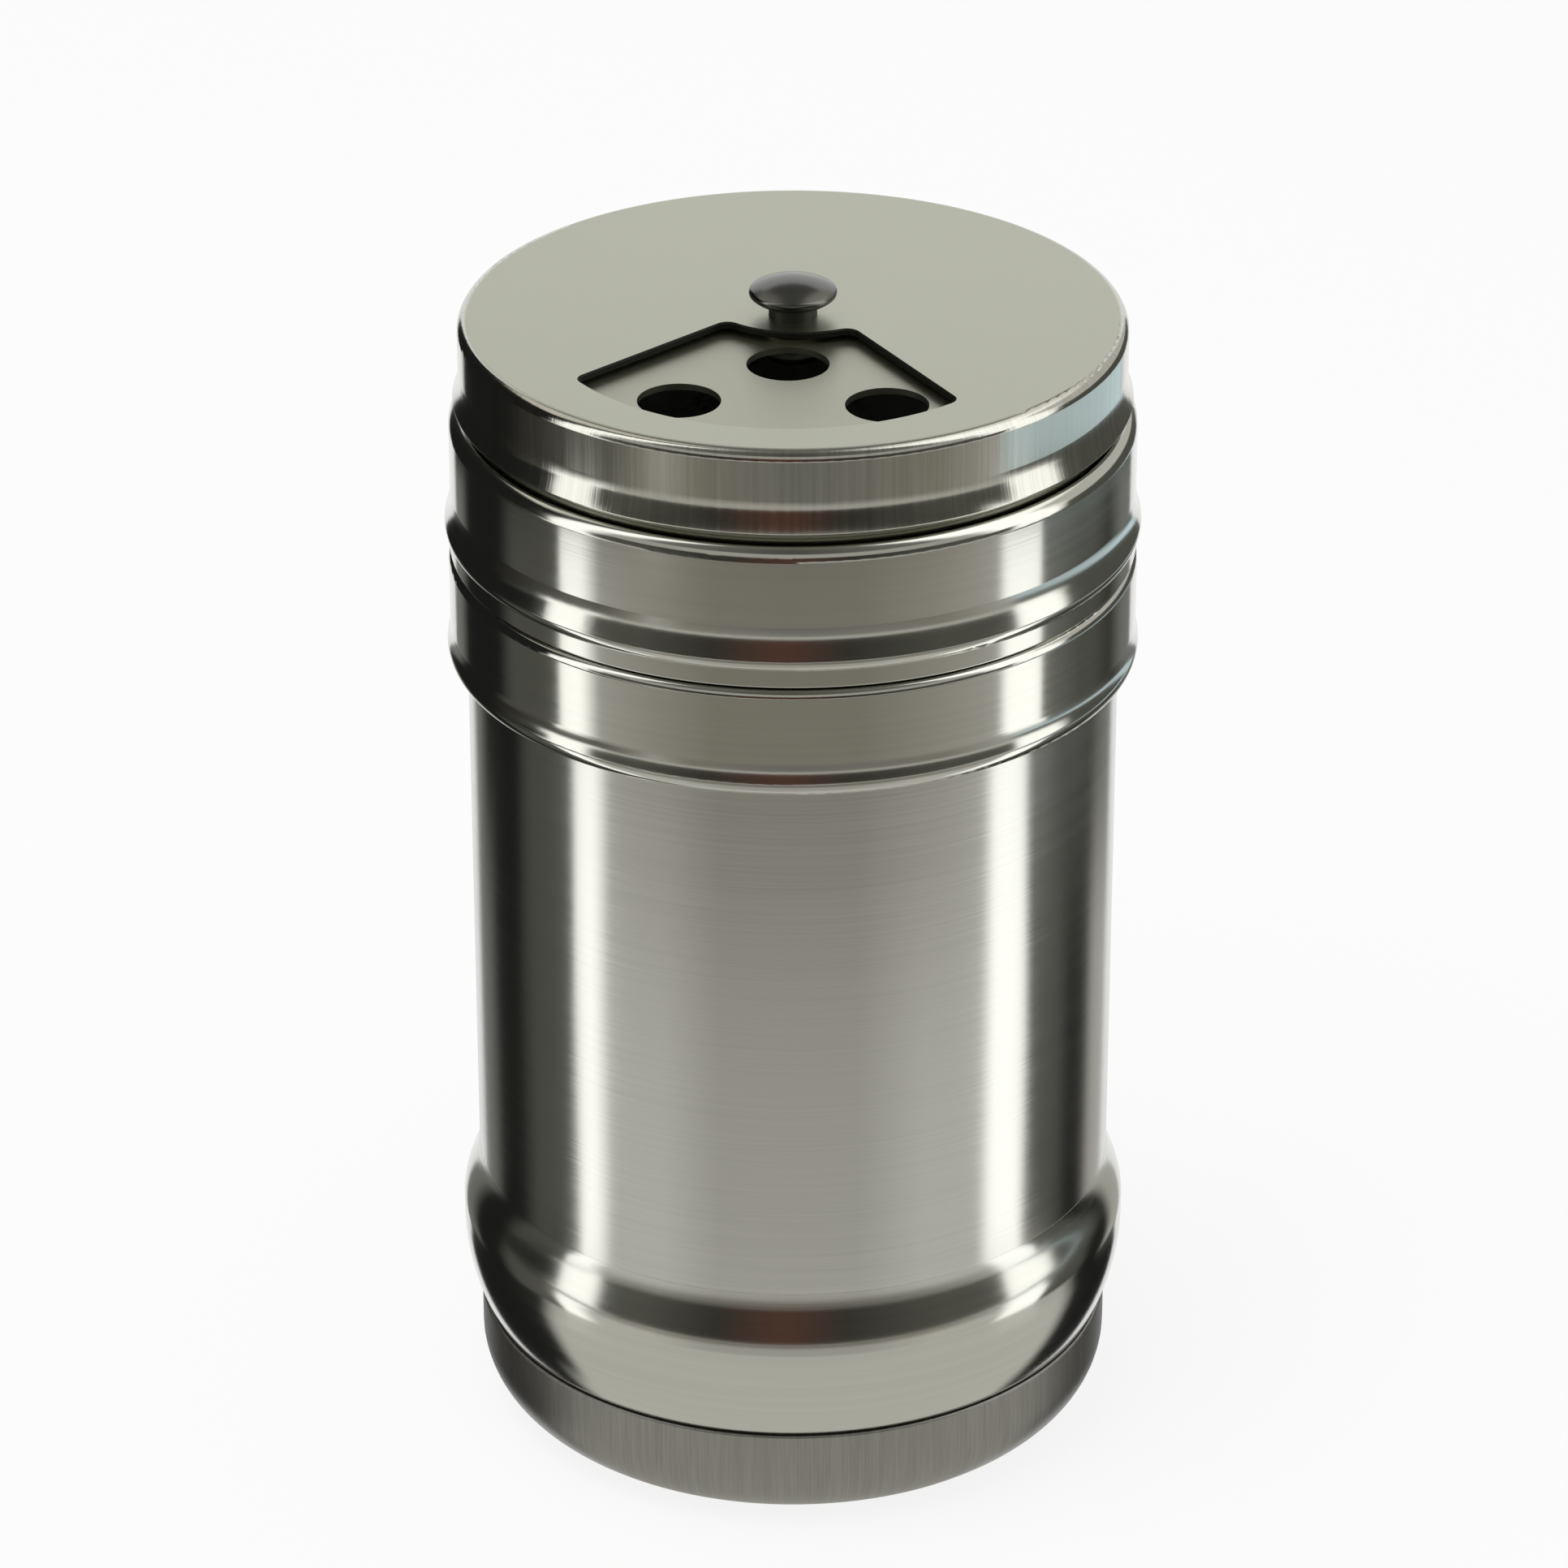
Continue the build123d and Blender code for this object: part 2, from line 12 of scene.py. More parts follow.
import bpy
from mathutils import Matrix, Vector


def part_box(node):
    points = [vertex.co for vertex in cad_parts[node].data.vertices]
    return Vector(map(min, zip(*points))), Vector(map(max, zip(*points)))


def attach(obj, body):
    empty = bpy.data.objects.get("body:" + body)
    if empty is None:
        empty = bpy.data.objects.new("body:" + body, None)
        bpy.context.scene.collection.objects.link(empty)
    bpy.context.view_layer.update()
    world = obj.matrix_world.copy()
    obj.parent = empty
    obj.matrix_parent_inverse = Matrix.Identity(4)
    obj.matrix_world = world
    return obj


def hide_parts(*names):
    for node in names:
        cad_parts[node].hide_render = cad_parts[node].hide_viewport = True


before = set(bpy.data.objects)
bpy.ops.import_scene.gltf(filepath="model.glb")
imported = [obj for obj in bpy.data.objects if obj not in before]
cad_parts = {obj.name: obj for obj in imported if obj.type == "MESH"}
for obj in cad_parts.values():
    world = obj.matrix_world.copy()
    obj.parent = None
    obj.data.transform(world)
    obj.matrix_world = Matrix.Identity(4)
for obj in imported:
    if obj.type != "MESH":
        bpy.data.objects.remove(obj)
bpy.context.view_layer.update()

# %% [markdown]
# ## Writing shader maths as sums
#
# A finish is a graph of nodes. To keep it readable, a socket is wrapped in a small class, so that
# `1 - mask` or `streaks * 0.3 + 0.7` adds the Math nodes by itself. Every other node comes from one
# method, `node`, which takes the node's type, its settings and what goes into its sockets.


# %% A socket that works like a number
class Wire:
    """One output socket. Sums with other wires or plain numbers add Math nodes to the same graph."""

    def __init__(self, graph, socket):
        self.graph, self.socket = graph, socket

    def maths(self, operation, first, second):
        return self.graph.node("ShaderNodeMath", {"operation": operation}, {0: first, 1: second})

    def __add__(self, other):
        return self.maths("ADD", self, other)

    def __radd__(self, other):
        return self.maths("ADD", other, self)

    def __sub__(self, other):
        return self.maths("SUBTRACT", self, other)

    def __rsub__(self, other):
        return self.maths("SUBTRACT", other, self)

    def __mul__(self, other):
        return self.maths("MULTIPLY", self, other)

    def __rmul__(self, other):
        return self.maths("MULTIPLY", other, self)


print("a wire adds, subtracts and multiplies")


# %% A graph that makes any other node
class Graph:
    """The nodes of one material or of the world."""

    def __init__(self, tree, name):
        self.tree, self.name = tree, name
        tree.nodes.clear()

    def node(self, kind, settings, sockets, output=0):
        """Adds a node. Settings are set first, then each socket gets its value or its link."""
        made = self.tree.nodes.new(kind)
        for name, value in settings.items():
            setattr(made, name, value)
        for name, value in sockets.items():
            if isinstance(value, Wire):
                self.tree.links.new(value.socket, made.inputs[name])
            else:
                made.inputs[name].default_value = value
        return Wire(self, made.outputs[output]) if made.outputs else made


def material(name):
    """A new material and its empty graph."""
    made = bpy.data.materials.new(name)
    made.use_nodes = True
    return made, Graph(made.node_tree, name)


def finish_with(graph, shader):
    """Leads the shader to the material's output."""
    graph.node("ShaderNodeOutputMaterial", {}, {"Surface": shader})
    print(graph.name, "takes", len(graph.tree.nodes), "nodes")


print("a graph makes the other nodes")

# %% [markdown]
# ## Where a point lies on a turned piece
#
# All the shells are turned about the Z axis, so their polishing marks run either round the axis or up
# along it. Object coordinates stay with the piece when it moves. A vector stretched along Z gives noise
# in rings, and one made of the outward direction, which has no length of its own, gives noise in
# upright streaks that also follow a rounded edge. The way that the surface faces tells inside from
# outside, and level from upright.


# %% Coordinates for turned pieces
def scaled(graph, vector, amounts):
    return graph.node("ShaderNodeVectorMath", {"operation": "MULTIPLY"}, {0: vector, 1: amounts})


def place(graph):
    return graph.node("ShaderNodeTexCoord", {}, {}, output="Object")


def flat_place(graph):
    """The place without its height, so that its length is the distance from the axis."""
    return scaled(graph, place(graph), (1, 1, 0))


def outward(graph):
    """Unit vector that points away from the axis."""
    return graph.node("ShaderNodeVectorMath", {"operation": "NORMALIZE"}, {0: flat_place(graph)})


def facing(graph):
    return graph.node("ShaderNodeTexCoord", {}, {}, output="Normal")


def upward_part(graph, vector):
    return graph.node("ShaderNodeSeparateXYZ", {}, {0: vector}, output="Z")


print("coordinates follow the shaker's axis")


# %% Masks from the way that the surface faces
def soft_step(graph, value, low, high):
    """0 below low, 1 above high and smooth between."""
    return graph.node(
        "ShaderNodeMapRange",
        {"interpolation_type": "SMOOTHSTEP"},
        {"Value": value, "From Min": low, "From Max": high},
    )


def faces_in(graph):
    """1 on an inside wall and 0 on an outside wall."""
    sides = {0: facing(graph), 1: outward(graph)}
    along = graph.node("ShaderNodeVectorMath", {"operation": "DOT_PRODUCT"}, sides, output="Value")
    return 1 - soft_step(graph, along, low=-0.1, high=0.1)


def levelness(graph):
    """1 where the surface is level, whether it looks up or down, and 0 where it stands upright."""
    rise = upward_part(graph, facing(graph))
    return rise * rise


print("masks tell inside walls and level sheet")


# %% Noise in rings, streaks and clouds
def noise(graph, vector, scale, detail, roughness):
    return graph.node(
        "ShaderNodeTexNoise",
        {},
        {"Vector": vector, "Scale": scale, "Detail": detail, "Roughness": roughness},
        output="Fac",
    )


def rings(graph, lines_per_metre, length):
    """Fine marks that run round the axis. length is how far one mark runs."""
    stretched = scaled(graph, place(graph), (1 / length, 1 / length, lines_per_metre))
    return noise(graph, stretched, scale=1.0, detail=3.0, roughness=0.6)


def streaks(graph, marks_per_turn, length):
    """Fine marks that run up the wall. length is how far one mark runs."""
    marks = marks_per_turn / (2 * pi)
    around = scaled(graph, outward(graph), (marks, marks, 0))
    up = scaled(graph, place(graph), (0, 0, 1 / length))
    both = graph.node("ShaderNodeVectorMath", {"operation": "ADD"}, {0: around, 1: up})
    return noise(graph, both, scale=1.0, detail=3.0, roughness=0.6)


def clouds(graph, size, detail=2.0):
    """Soft patches of about one size."""
    return noise(graph, place(graph), scale=1 / size, detail=detail, roughness=0.5)


print("noise comes in rings, streaks and clouds")


# %% Tints and relief
def tinted(graph, colour, amount, by):
    """colour, made lighter and darker by amount as the wire runs from 0 to 1."""
    light = [min(1.0, c * (1 + amount)) for c in colour] + [1]
    dark = [c * (1 - amount) for c in colour] + [1]
    return graph.node("ShaderNodeMix", {"data_type": "RGBA"}, {"Factor": by, 6: dark, 7: light}, output=2)


def raised(graph, height, distance):
    """Normals for a surface whose relief is height, from 0 to 1, times distance."""
    return graph.node("ShaderNodeBump", {}, {"Height": height, "Distance": distance, "Strength": 1.0})


def mixed(graph, factor, first, second):
    """The first shader where factor is 0, and the second where it is 1."""
    return graph.node("ShaderNodeMixShader", {}, {0: factor, 1: first, 2: second})


print("tints, relief and mixed shaders are ready")

# %% [markdown]
# ## Steel
#
# Stainless steel is all metal, so its look comes from its colour, how much it blurs what it mirrors,
# and in which direction. Brushing blurs across the brush marks: on a tube that was brushed round its
# axis, the mirror image is pulled up and down. `Anisotropic` does that, and the direction is turned a
# quarter for marks that run round.

# %% One steel shader
STEEL = (0.60, 0.60, 0.56)
QUARTER_TURN = 0.25
INSIDE_BLUR = 0.2         # how much rougher the inside of a wall is, which nobody polished

finishes = {}             # what each solid is finished with


def steel(graph, colour, roughness, normal, anisotropic=0.0, turn=0.0):
    return graph.node(
        "ShaderNodeBsdfPrincipled",
        {},
        {
            "Base Color": colour,
            "Metallic": 1.0,
            "Roughness": roughness,
            "Normal": normal,
            "Anisotropic": anisotropic,
            "Anisotropic Rotation": turn,
        },
    )


print("plain steel has the colour", STEEL)

# %% [markdown]
# ## The brushed tube
#
# The tube was brushed while it turned, so thousands of marks run round it. They are far too fine to
# model. Two widths of ring noise tint the metal, change how much it blurs and raise a relief of a few
# thousandths of a millimetre. The same shader serves the upper edge of the base shell, because the
# brush ran over both.

# %% Brushed tube
TUBE_COLOUR = (0.63, 0.63, 0.60)
TUBE_BLUR = 0.13          # the roughness of steel without marks, from 0 for a mirror to 1 for chalk
BRUSH_DEPTH = 0.000006    # from the bottom of a mark to its top
FINE_SHARE, COARSE_SHARE = 0.6, 0.4


def brushed(graph, blur):
    """Steel with brush marks that run round the axis."""
    fine = rings(graph, lines_per_metre=5200, length=0.02)
    coarse = rings(graph, lines_per_metre=1500, length=0.035)
    marks = fine * FINE_SHARE + coarse * COARSE_SHARE
    return steel(
        graph,
        tinted(graph, TUBE_COLOUR, amount=0.12, by=marks),
        blur + marks * 0.1,
        raised(graph, marks, BRUSH_DEPTH),
        anisotropic=0.9,
        turn=QUARTER_TURN,
    )


def tube_steel():
    made, graph = material("tube_steel")
    finish_with(graph, brushed(graph, TUBE_BLUR + faces_in(graph) * INSIDE_BLUR))
    return made


finishes["body_tube"] = tube_steel()

# %% [markdown]
# ## The foot
#
# The foot's colour is painted darker than the rest, as painted shade for the floor's shadow that it
# mirrors so close to the table, and it is brushed upright. Its marks are streaks, laid out by the
# outward direction, so they keep their width where the wall rounds in underneath. Noise in plain
# coordinates would smear there. Slow patches keep the brushing from looking ruled.

# %% Foot with upright brushing
# painted shade: the foot's colour is darkened for the floor's shadow that it mirrors
FOOT_SHADED_COLOUR = (0.32, 0.315, 0.30)
FOOT_BLUR, FOOT_DEPTH = 0.34, 0.00001


def foot_steel():
    made, graph = material("foot_steel")
    fine = streaks(graph, marks_per_turn=900, length=0.006)
    coarse = streaks(graph, marks_per_turn=260, length=0.01)
    marks = fine * FINE_SHARE + coarse * COARSE_SHARE
    patches = clouds(graph, size=0.01)
    shader = steel(
        graph,
        tinted(graph, FOOT_SHADED_COLOUR, amount=0.42, by=marks),
        FOOT_BLUR + marks * 0.12 + patches * 0.05,
        raised(graph, marks, FOOT_DEPTH),
        anisotropic=0.6,
    )
    finish_with(graph, shader)
    return made


finishes["foot_cup"] = foot_steel()

# %% [markdown]
# ## The cap
#
# The cap is one pressing with three looks: a satin disc, a skirt polished with upright marks, and the
# window's cut edges, which are painted near black as painted shade in the gap round the window, with a
# rough torn grain. They could be three material slots. But each begins where the sheet bends, so the
# way that the surface faces picks the look, and the change follows every rounded edge by itself.

# %% The cap's three steels
DISC_COLOUR, DISC_BLUR, DISC_DEPTH = (0.51, 0.52, 0.43), 0.32, 0.000004
SKIRT_COLOUR, SKIRT_BLUR, SKIRT_DEPTH = (0.56, 0.555, 0.51), 0.07, 0.000006
# painted shade: the cut edges' colour is near black for the shade in the gap round the window
CUT_SHADE_COLOUR, CUT_BLUR, CUT_DEPTH = (0.03, 0.03, 0.027), 0.5, 0.00002


def satin_disc(graph, grain, patches):
    turned = rings(graph, lines_per_metre=40, length=0.0006)
    return steel(
        graph,
        tinted(graph, DISC_COLOUR, amount=0.05, by=grain * 0.5 + patches * 0.5),
        DISC_BLUR + grain * 0.06 + patches * 0.04,
        raised(graph, grain + turned * 0.3, DISC_DEPTH),
    )


def polished_skirt(graph, patches):
    marks = streaks(graph, marks_per_turn=420, length=0.02)
    return steel(
        graph,
        tinted(graph, SKIRT_COLOUR, amount=0.2, by=marks),
        SKIRT_BLUR + marks * 0.07 + patches * 0.03,
        raised(graph, marks, SKIRT_DEPTH),
    )


# painted shade: steel painted near black for the window's shaded cut edges
def shaded_cut_edge(graph, grain):
    return steel(
        graph,
        tinted(graph, CUT_SHADE_COLOUR, amount=0.3, by=grain),
        CUT_BLUR + grain * 0.2,
        raised(graph, grain, CUT_DEPTH),
    )


print("the cap's disc, skirt and cut edges are ready")

# %% Satin disc with a polished skirt
WINDOW_REACH = 0.0225     # the cap's cut edges all lie inside this radius
WINDOW_FADE = 0.0002


def cut_edge_shade_mask(graph):
    """1 on the upright edges of the window and on their small roundings: where the painted shade goes."""
    flat = flat_place(graph)
    reach = graph.node("ShaderNodeVectorMath", {"operation": "LENGTH"}, {0: flat}, output="Value")
    upright = 1 - soft_step(graph, levelness(graph), low=0.5, high=0.8)
    return upright * (1 - soft_step(graph, reach, WINDOW_REACH, WINDOW_REACH + WINDOW_FADE))


def cap_steel():
    made, graph = material("satin_steel")
    level = soft_step(graph, levelness(graph), low=0.9, high=0.99)
    grain = clouds(graph, size=0.0004, detail=3.0)
    patches = clouds(graph, size=0.015)
    uncut = mixed(graph, level, polished_skirt(graph, patches), satin_disc(graph, grain, patches))
    finish_with(graph, mixed(graph, cut_edge_shade_mask(graph), uncut, shaded_cut_edge(graph, grain)))
    return made


finishes["rotating_cap"] = cap_steel()

# %% [markdown]
# ## Collar and bands
#
# These were polished on a wheel until they are almost mirrors. A perfect mirror would look like glass,
# so fine scratches run round the axis, and soft patches bend the mirror image a little, as pressed
# sheet does.

# %% Polished collar and bands
BAND_BLUR, POLISH_DEPTH = 0.07, 0.000006


def polished(graph, blur, patch_blur, scratch_depth):
    """Steel polished on a wheel, with scratches round the axis. scratch_depth is a share of the relief."""
    scratches = rings(graph, lines_per_metre=2600, length=0.05)
    patches = clouds(graph, size=0.009)
    return steel(
        graph,
        tinted(graph, STEEL, amount=0.06, by=scratches),
        blur + patches * patch_blur + scratches * 0.05,
        raised(graph, scratches * scratch_depth + patches, POLISH_DEPTH),
    )


def polished_steel(name, scratch_depth):
    made, graph = material(name)
    blur = BAND_BLUR + faces_in(graph) * INSIDE_BLUR
    finish_with(graph, polished(graph, blur, patch_blur=0.05, scratch_depth=scratch_depth))
    return made


finishes["shoulder_band"] = polished_steel("band_steel", scratch_depth=0.25)
finishes["lid_collar"] = polished_steel("polished_steel", scratch_depth=0.35)

# %% [markdown]
# ## The base shell
#
# The shell is polished like the bands, but the tube's brushing runs down over its shoulder. Two
# materials would meet in a hard line of faces. Instead both shaders are made here, and the height of a
# point fades one into the other.

# %% Base shell, brushed where it runs into the tube
BRUSHED_FROM = 0.0197     # the height that the brushing comes down to
BRUSH_FADE = 0.0002
SHELL_BLUR = 0.09


def base_steel():
    made, graph = material("base_steel")
    height = upward_part(graph, place(graph))
    up = soft_step(graph, height, BRUSHED_FROM - BRUSH_FADE, BRUSHED_FROM + BRUSH_FADE)
    mirror = polished(graph, SHELL_BLUR, patch_blur=0.06, scratch_depth=0.3)
    finish_with(graph, mixed(graph, up, mirror, brushed(graph, TUBE_BLUR)))
    return made


finishes["base_shell"] = base_steel()

# %% [markdown]
# ## Neck, plate and washers
#
# These are rolled sheet that was pressed and left as it came. A fine grain and faint patches are
# enough, and the grain stays shallow, because a deeper one sparkles on steel that still mirrors.

# %% Plain pressed steel
SHEET_DEPTH = 0.000002


def pressed_steel(name, colour, blur, grain_size):
    """Rolled sheet, pressed but not polished."""
    made, graph = material(name)
    grain = clouds(graph, grain_size, detail=3.0)
    patches = clouds(graph, size=0.006)
    shader = steel(
        graph,
        tinted(graph, colour, amount=0.08, by=grain * 0.6 + patches * 0.4),
        blur + grain * 0.08 + patches * 0.06,
        raised(graph, grain, SHEET_DEPTH),
    )
    finish_with(graph, shader)
    return made


finishes["neck_ring"] = pressed_steel("neck_steel", (0.58, 0.58, 0.55), blur=0.22, grain_size=0.0005)
finishes["sifter_plate"] = pressed_steel("plate_steel", (0.46, 0.465, 0.38), blur=0.3, grain_size=0.0004)
washer_steel = pressed_steel("washer_steel", (0.55, 0.55, 0.53), blur=0.28, grain_size=0.0003)
for washer in ("spacer_washer", "disc_spring", "tail_washer"):
    finishes[washer] = washer_steel

# %% [markdown]
# ## The pivot
#
# The pivot is a turned rivet. Its head was polished in the lathe and shows fine turning marks, and its
# colour is painted dark as a painted dark reflection. The neck under it is painted nearly black as
# painted shade under the head. The height of a point picks one or the other.

# %% Pivot
# painted dark reflection in the head's colour, and painted shade, near black, in the neck's colour
HEAD_DARKENED_COLOUR, HEAD_BLUR, HEAD_DEPTH = (0.15, 0.15, 0.143), 0.14, 0.000004
NECK_SHADE_COLOUR, NECK_BLUR, NECK_DEPTH = (0.07, 0.07, 0.065), 0.45, 0.00001
NECK_SHADE_TOP = 0.0925        # the height where the head's polish begins
NECK_SHADE_FADE = 0.0002


def pivot_steel():
    made, graph = material("knob_steel")
    turning = rings(graph, lines_per_metre=4000, length=0.01)
    patches = clouds(graph, size=0.002)
    head = steel(
        graph,
        tinted(graph, HEAD_DARKENED_COLOUR, amount=0.1, by=turning),
        HEAD_BLUR + turning * 0.1 + patches * 0.05,
        raised(graph, turning, HEAD_DEPTH),
    )
    # the neck: painted shade under the head
    neck = steel(
        graph,
        tinted(graph, NECK_SHADE_COLOUR, amount=0.3, by=patches),
        NECK_BLUR + turning * 0.1,
        raised(graph, turning, NECK_DEPTH),
    )
    height = upward_part(graph, place(graph))
    finish_with(graph, mixed(graph, soft_step(graph, height, NECK_SHADE_TOP - NECK_SHADE_FADE, NECK_SHADE_TOP), neck, head))
    return made


finishes["pivot_knob"] = pivot_steel()

# %% [markdown]
# ## Plastic and silicone
#
# The insert is moulded from a milky plastic that lets a little light in, and the gasket is soft
# silicone, which is duller. Both carry the fine mottling of a moulded surface.

# %% Moulded finishes
MOTTLE_DEPTH = 0.00001
MILKY_DEPTH = 0.001       # how far light runs under the surface


def moulded(name, colour, roughness, subsurface):
    made, graph = material(name)
    mottle, patches = clouds(graph, size=0.0007, detail=3.0), clouds(graph, size=0.008)
    shader = graph.node(
        "ShaderNodeBsdfPrincipled",
        {},
        {
            "Base Color": tinted(graph, colour, amount=0.05, by=mottle * 0.4 + patches * 0.6),
            "Roughness": roughness + mottle * 0.1 + patches * 0.05,
            "Normal": raised(graph, mottle, MOTTLE_DEPTH),
            "Subsurface Weight": subsurface,
            "Subsurface Scale": MILKY_DEPTH,
        },
    )
    finish_with(graph, shader)
    return made


finishes["thread_insert"] = moulded("insert_plastic", (0.80, 0.80, 0.76), roughness=0.4, subsurface=0.2)
finishes["lid_gasket"] = moulded("gasket_rubber", (0.72, 0.72, 0.68), roughness=0.55, subsurface=0.1)

# %% Give each solid its finish
for node_name, finish in finishes.items():
    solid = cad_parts[node_name]
    solid.data.materials.clear()
    solid.data.materials.append(finish)
print("finished", len(finishes), "solids with", len(set(finishes.values())), "finishes")

# %% [markdown]
# ## The base shell's soft edge
#
# On the real jar the shell's shoulder runs into the tube in one soft S, without a step, because the
# joint was rolled down and brushed over. A knife-thin edge like that is awkward as a solid, so it is
# turned here instead: a profile of radii and heights is carried round the axis, and the piece stands
# for the CAD shell.

# %% Turn a profile round the axis
SEGMENTS = 256
SHARP_EDGE = radians(30)


def mesh_object(name, vertices, faces, finish):
    """A new object with one mesh and one finish."""
    mesh = bpy.data.meshes.new(name)
    mesh.from_pydata(vertices, [], faces)
    mesh.materials.append(finish)
    made = bpy.data.objects.new(name, mesh)
    bpy.context.scene.collection.objects.link(made)
    return made


def turned_piece(name, profile, finish):
    """Carries a closed profile of radii and heights round Z. The profile runs up outside and down inside."""
    count = len(profile)
    vertices, faces = [], []
    for segment in range(SEGMENTS):
        angle = 2 * pi * segment / SEGMENTS
        vertices += [(radius * cos(angle), radius * sin(angle), height) for radius, height in profile]
        first, second = segment * count, (segment + 1) % SEGMENTS * count
        for point in range(count):
            following = (point + 1) % count
            faces.append((first + point, second + point, second + following, first + following))
    piece = mesh_object(name, vertices, faces, finish)
    piece.data.polygons.foreach_set("use_smooth", [True] * len(faces))
    piece.data.set_sharp_from_angle(angle=SHARP_EDGE)
    return piece


print("a profile is turned in", SEGMENTS, "steps")

# %% The shell's profile
shell_low, shell_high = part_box("base_shell")
TUBE_RADIUS = 0.0246
SEAM_RADIUS = 0.0245      # where the shell meets the foot
SHELL_WALL = 0.00045
PRESS_GAP = 0.00005       # between the shell's inside and the tube
FEATHER = 0.00001         # how far the rolled-down upper edge stands out of the tube
EDGE_GRIP = 0.00002       # and the least thickness that the sheet is rolled down to
TAPER_TOP = 0.0150
SHOULDER_LOW, SHOULDER_HIGH = 0.0163, 0.0210


def eased(share):
    """A share kept from 0 to 1, which leaves 0 and comes to 1 without a kink."""
    share = min(1.0, max(0.0, share))
    return share * share * (3 - 2 * share)


def shell_radius(height):
    """Outside of the shell: a round taper out from the seam, a short flat, and an S in to the tube."""
    bulge_radius = shell_high.x
    if height < TAPER_TOP:
        rise, step = TAPER_TOP - shell_low.z, bulge_radius - SEAM_RADIUS
        curve = (rise ** 2 + step ** 2) / (2 * step)
        return bulge_radius - curve + (curve ** 2 - (TAPER_TOP - height) ** 2) ** 0.5
    inwards = eased((height - SHOULDER_LOW) / (SHOULDER_HIGH - SHOULDER_LOW))
    return bulge_radius + (TUBE_RADIUS + FEATHER - bulge_radius) * inwards


def lining_radius(radius):
    """Inside of the shell: one sheet in from the outside, but outside the tube as long as there is room."""
    return min(max(radius - SHELL_WALL, TUBE_RADIUS + PRESS_GAP), radius - EDGE_GRIP)


edges = [round(height * 1000, 2) for height in (shell_low.z, SHOULDER_HIGH)]
print("the shell reaches from", edges[0], "to", edges[1], "mm")

# %% Turn the shell
PROFILE_STEP = 0.0002

profile_steps = round((SHOULDER_HIGH - shell_low.z) / PROFILE_STEP)
height_step = (SHOULDER_HIGH - shell_low.z) / profile_steps
heights = [shell_low.z + height_step * step for step in range(profile_steps + 1)]
outside = [(shell_radius(height), height) for height in heights]
inside = [(lining_radius(radius), height) for radius, height in outside[1:]]
seam_lip = (SEAM_RADIUS - SHELL_WALL, shell_low.z)
profile = [*outside, *reversed(inside), seam_lip]
soft_shell = turned_piece("soft_base_shell", profile, finishes["base_shell"])
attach(soft_shell, "jar")
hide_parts("base_shell")
print("shell of", len(outside), "steps, widest at", round(max(outside)[0] * 1000, 2), "mm")

# %% [markdown]
# ## Screw threads
#
# The neck's thread is rolled into the sheet, so it is a rounded ridge, and the insert's is moulded.
# Each is a half-round section carried along a helix, and it rises out of the wall at one end and sinks
# back at the other. The ridges clear each other by 0.1 mm, so the lid can also be drawn straight up.

# %% Sweep a rounded ridge along a helix
PITCH = 0.003
THREAD_TURNS = 1.25
STEPS_PER_TURN = 144
SECTION_POINTS = 12
FADE_TURNS = 0.12         # how much of a turn the ridge takes to reach its full height
BLUNT_END = 0.1           # share of that height which is left at its ends, out of sight in the wall
ROOT_DEPTH = 0.0001       # how deep the ridge's root is sunk in the wall


def ridge_section(turns, wall_radius, crest, start_height, width):
    """The points across the ridge, from its lower side to its upper side."""
    fullness = max(BLUNT_END, eased(min(turns, THREAD_TURNS - turns) / FADE_TURNS))
    root = ROOT_DEPTH if crest > 0 else -ROOT_DEPTH
    angle = turns * 2 * pi
    for corner in range(SECTION_POINTS):
        across = pi * corner / (SECTION_POINTS - 1)
        radius = wall_radius - root + (crest + root) * sin(across) * fullness
        height = start_height + turns * PITCH - width / 2 * cos(across)
        yield radius * cos(angle), radius * sin(angle), height


def thread(name, wall_radius, crest, start_height, width, finish):
    """A ridge on a wall of the given radius. crest is its height, negative when it points inwards."""
    steps = int(THREAD_TURNS * STEPS_PER_TURN)
    vertices, faces = [], []
    for step in range(steps + 1):
        vertices += ridge_section(step / STEPS_PER_TURN, wall_radius, crest, start_height, width)
    for step in range(steps):
        row, next_row = step * SECTION_POINTS, (step + 1) * SECTION_POINTS
        for corner in range(SECTION_POINTS):
            following = (corner + 1) % SECTION_POINTS
            faces.append((row + corner, next_row + corner, next_row + following, row + following))
    last_row = steps * SECTION_POINTS
    faces.append(tuple(range(SECTION_POINTS)))
    faces.append(tuple(reversed(range(last_row, last_row + SECTION_POINTS))))
    if crest < 0:
        faces = [face[::-1] for face in faces]
    ridge = mesh_object(name, vertices, faces, finish)
    ridge.data.polygons.foreach_set("use_smooth", [len(face) == 4 for face in faces])
    return ridge


print("a ridge has", int(THREAD_TURNS * STEPS_PER_TURN), "steps of", SECTION_POINTS, "points")

# %% The neck's thread and the insert's
neck_low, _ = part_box("neck_ring")
NECK_FLANGE = 0.0011      # the neck's flange lies this far below the jar's shoulder
NECK_WALL_RADIUS = 0.02245
INSERT_BORE_RADIUS = 0.0233
NECK_CREST = 0.0004
THREAD_CLEARANCE = 0.0001
INSERT_CREST = INSERT_BORE_RADIUS - NECK_WALL_RADIUS - NECK_CREST - THREAD_CLEARANCE
RIDGE_WIDTH = 0.0013
ABOVE_SHOULDER = 0.0015

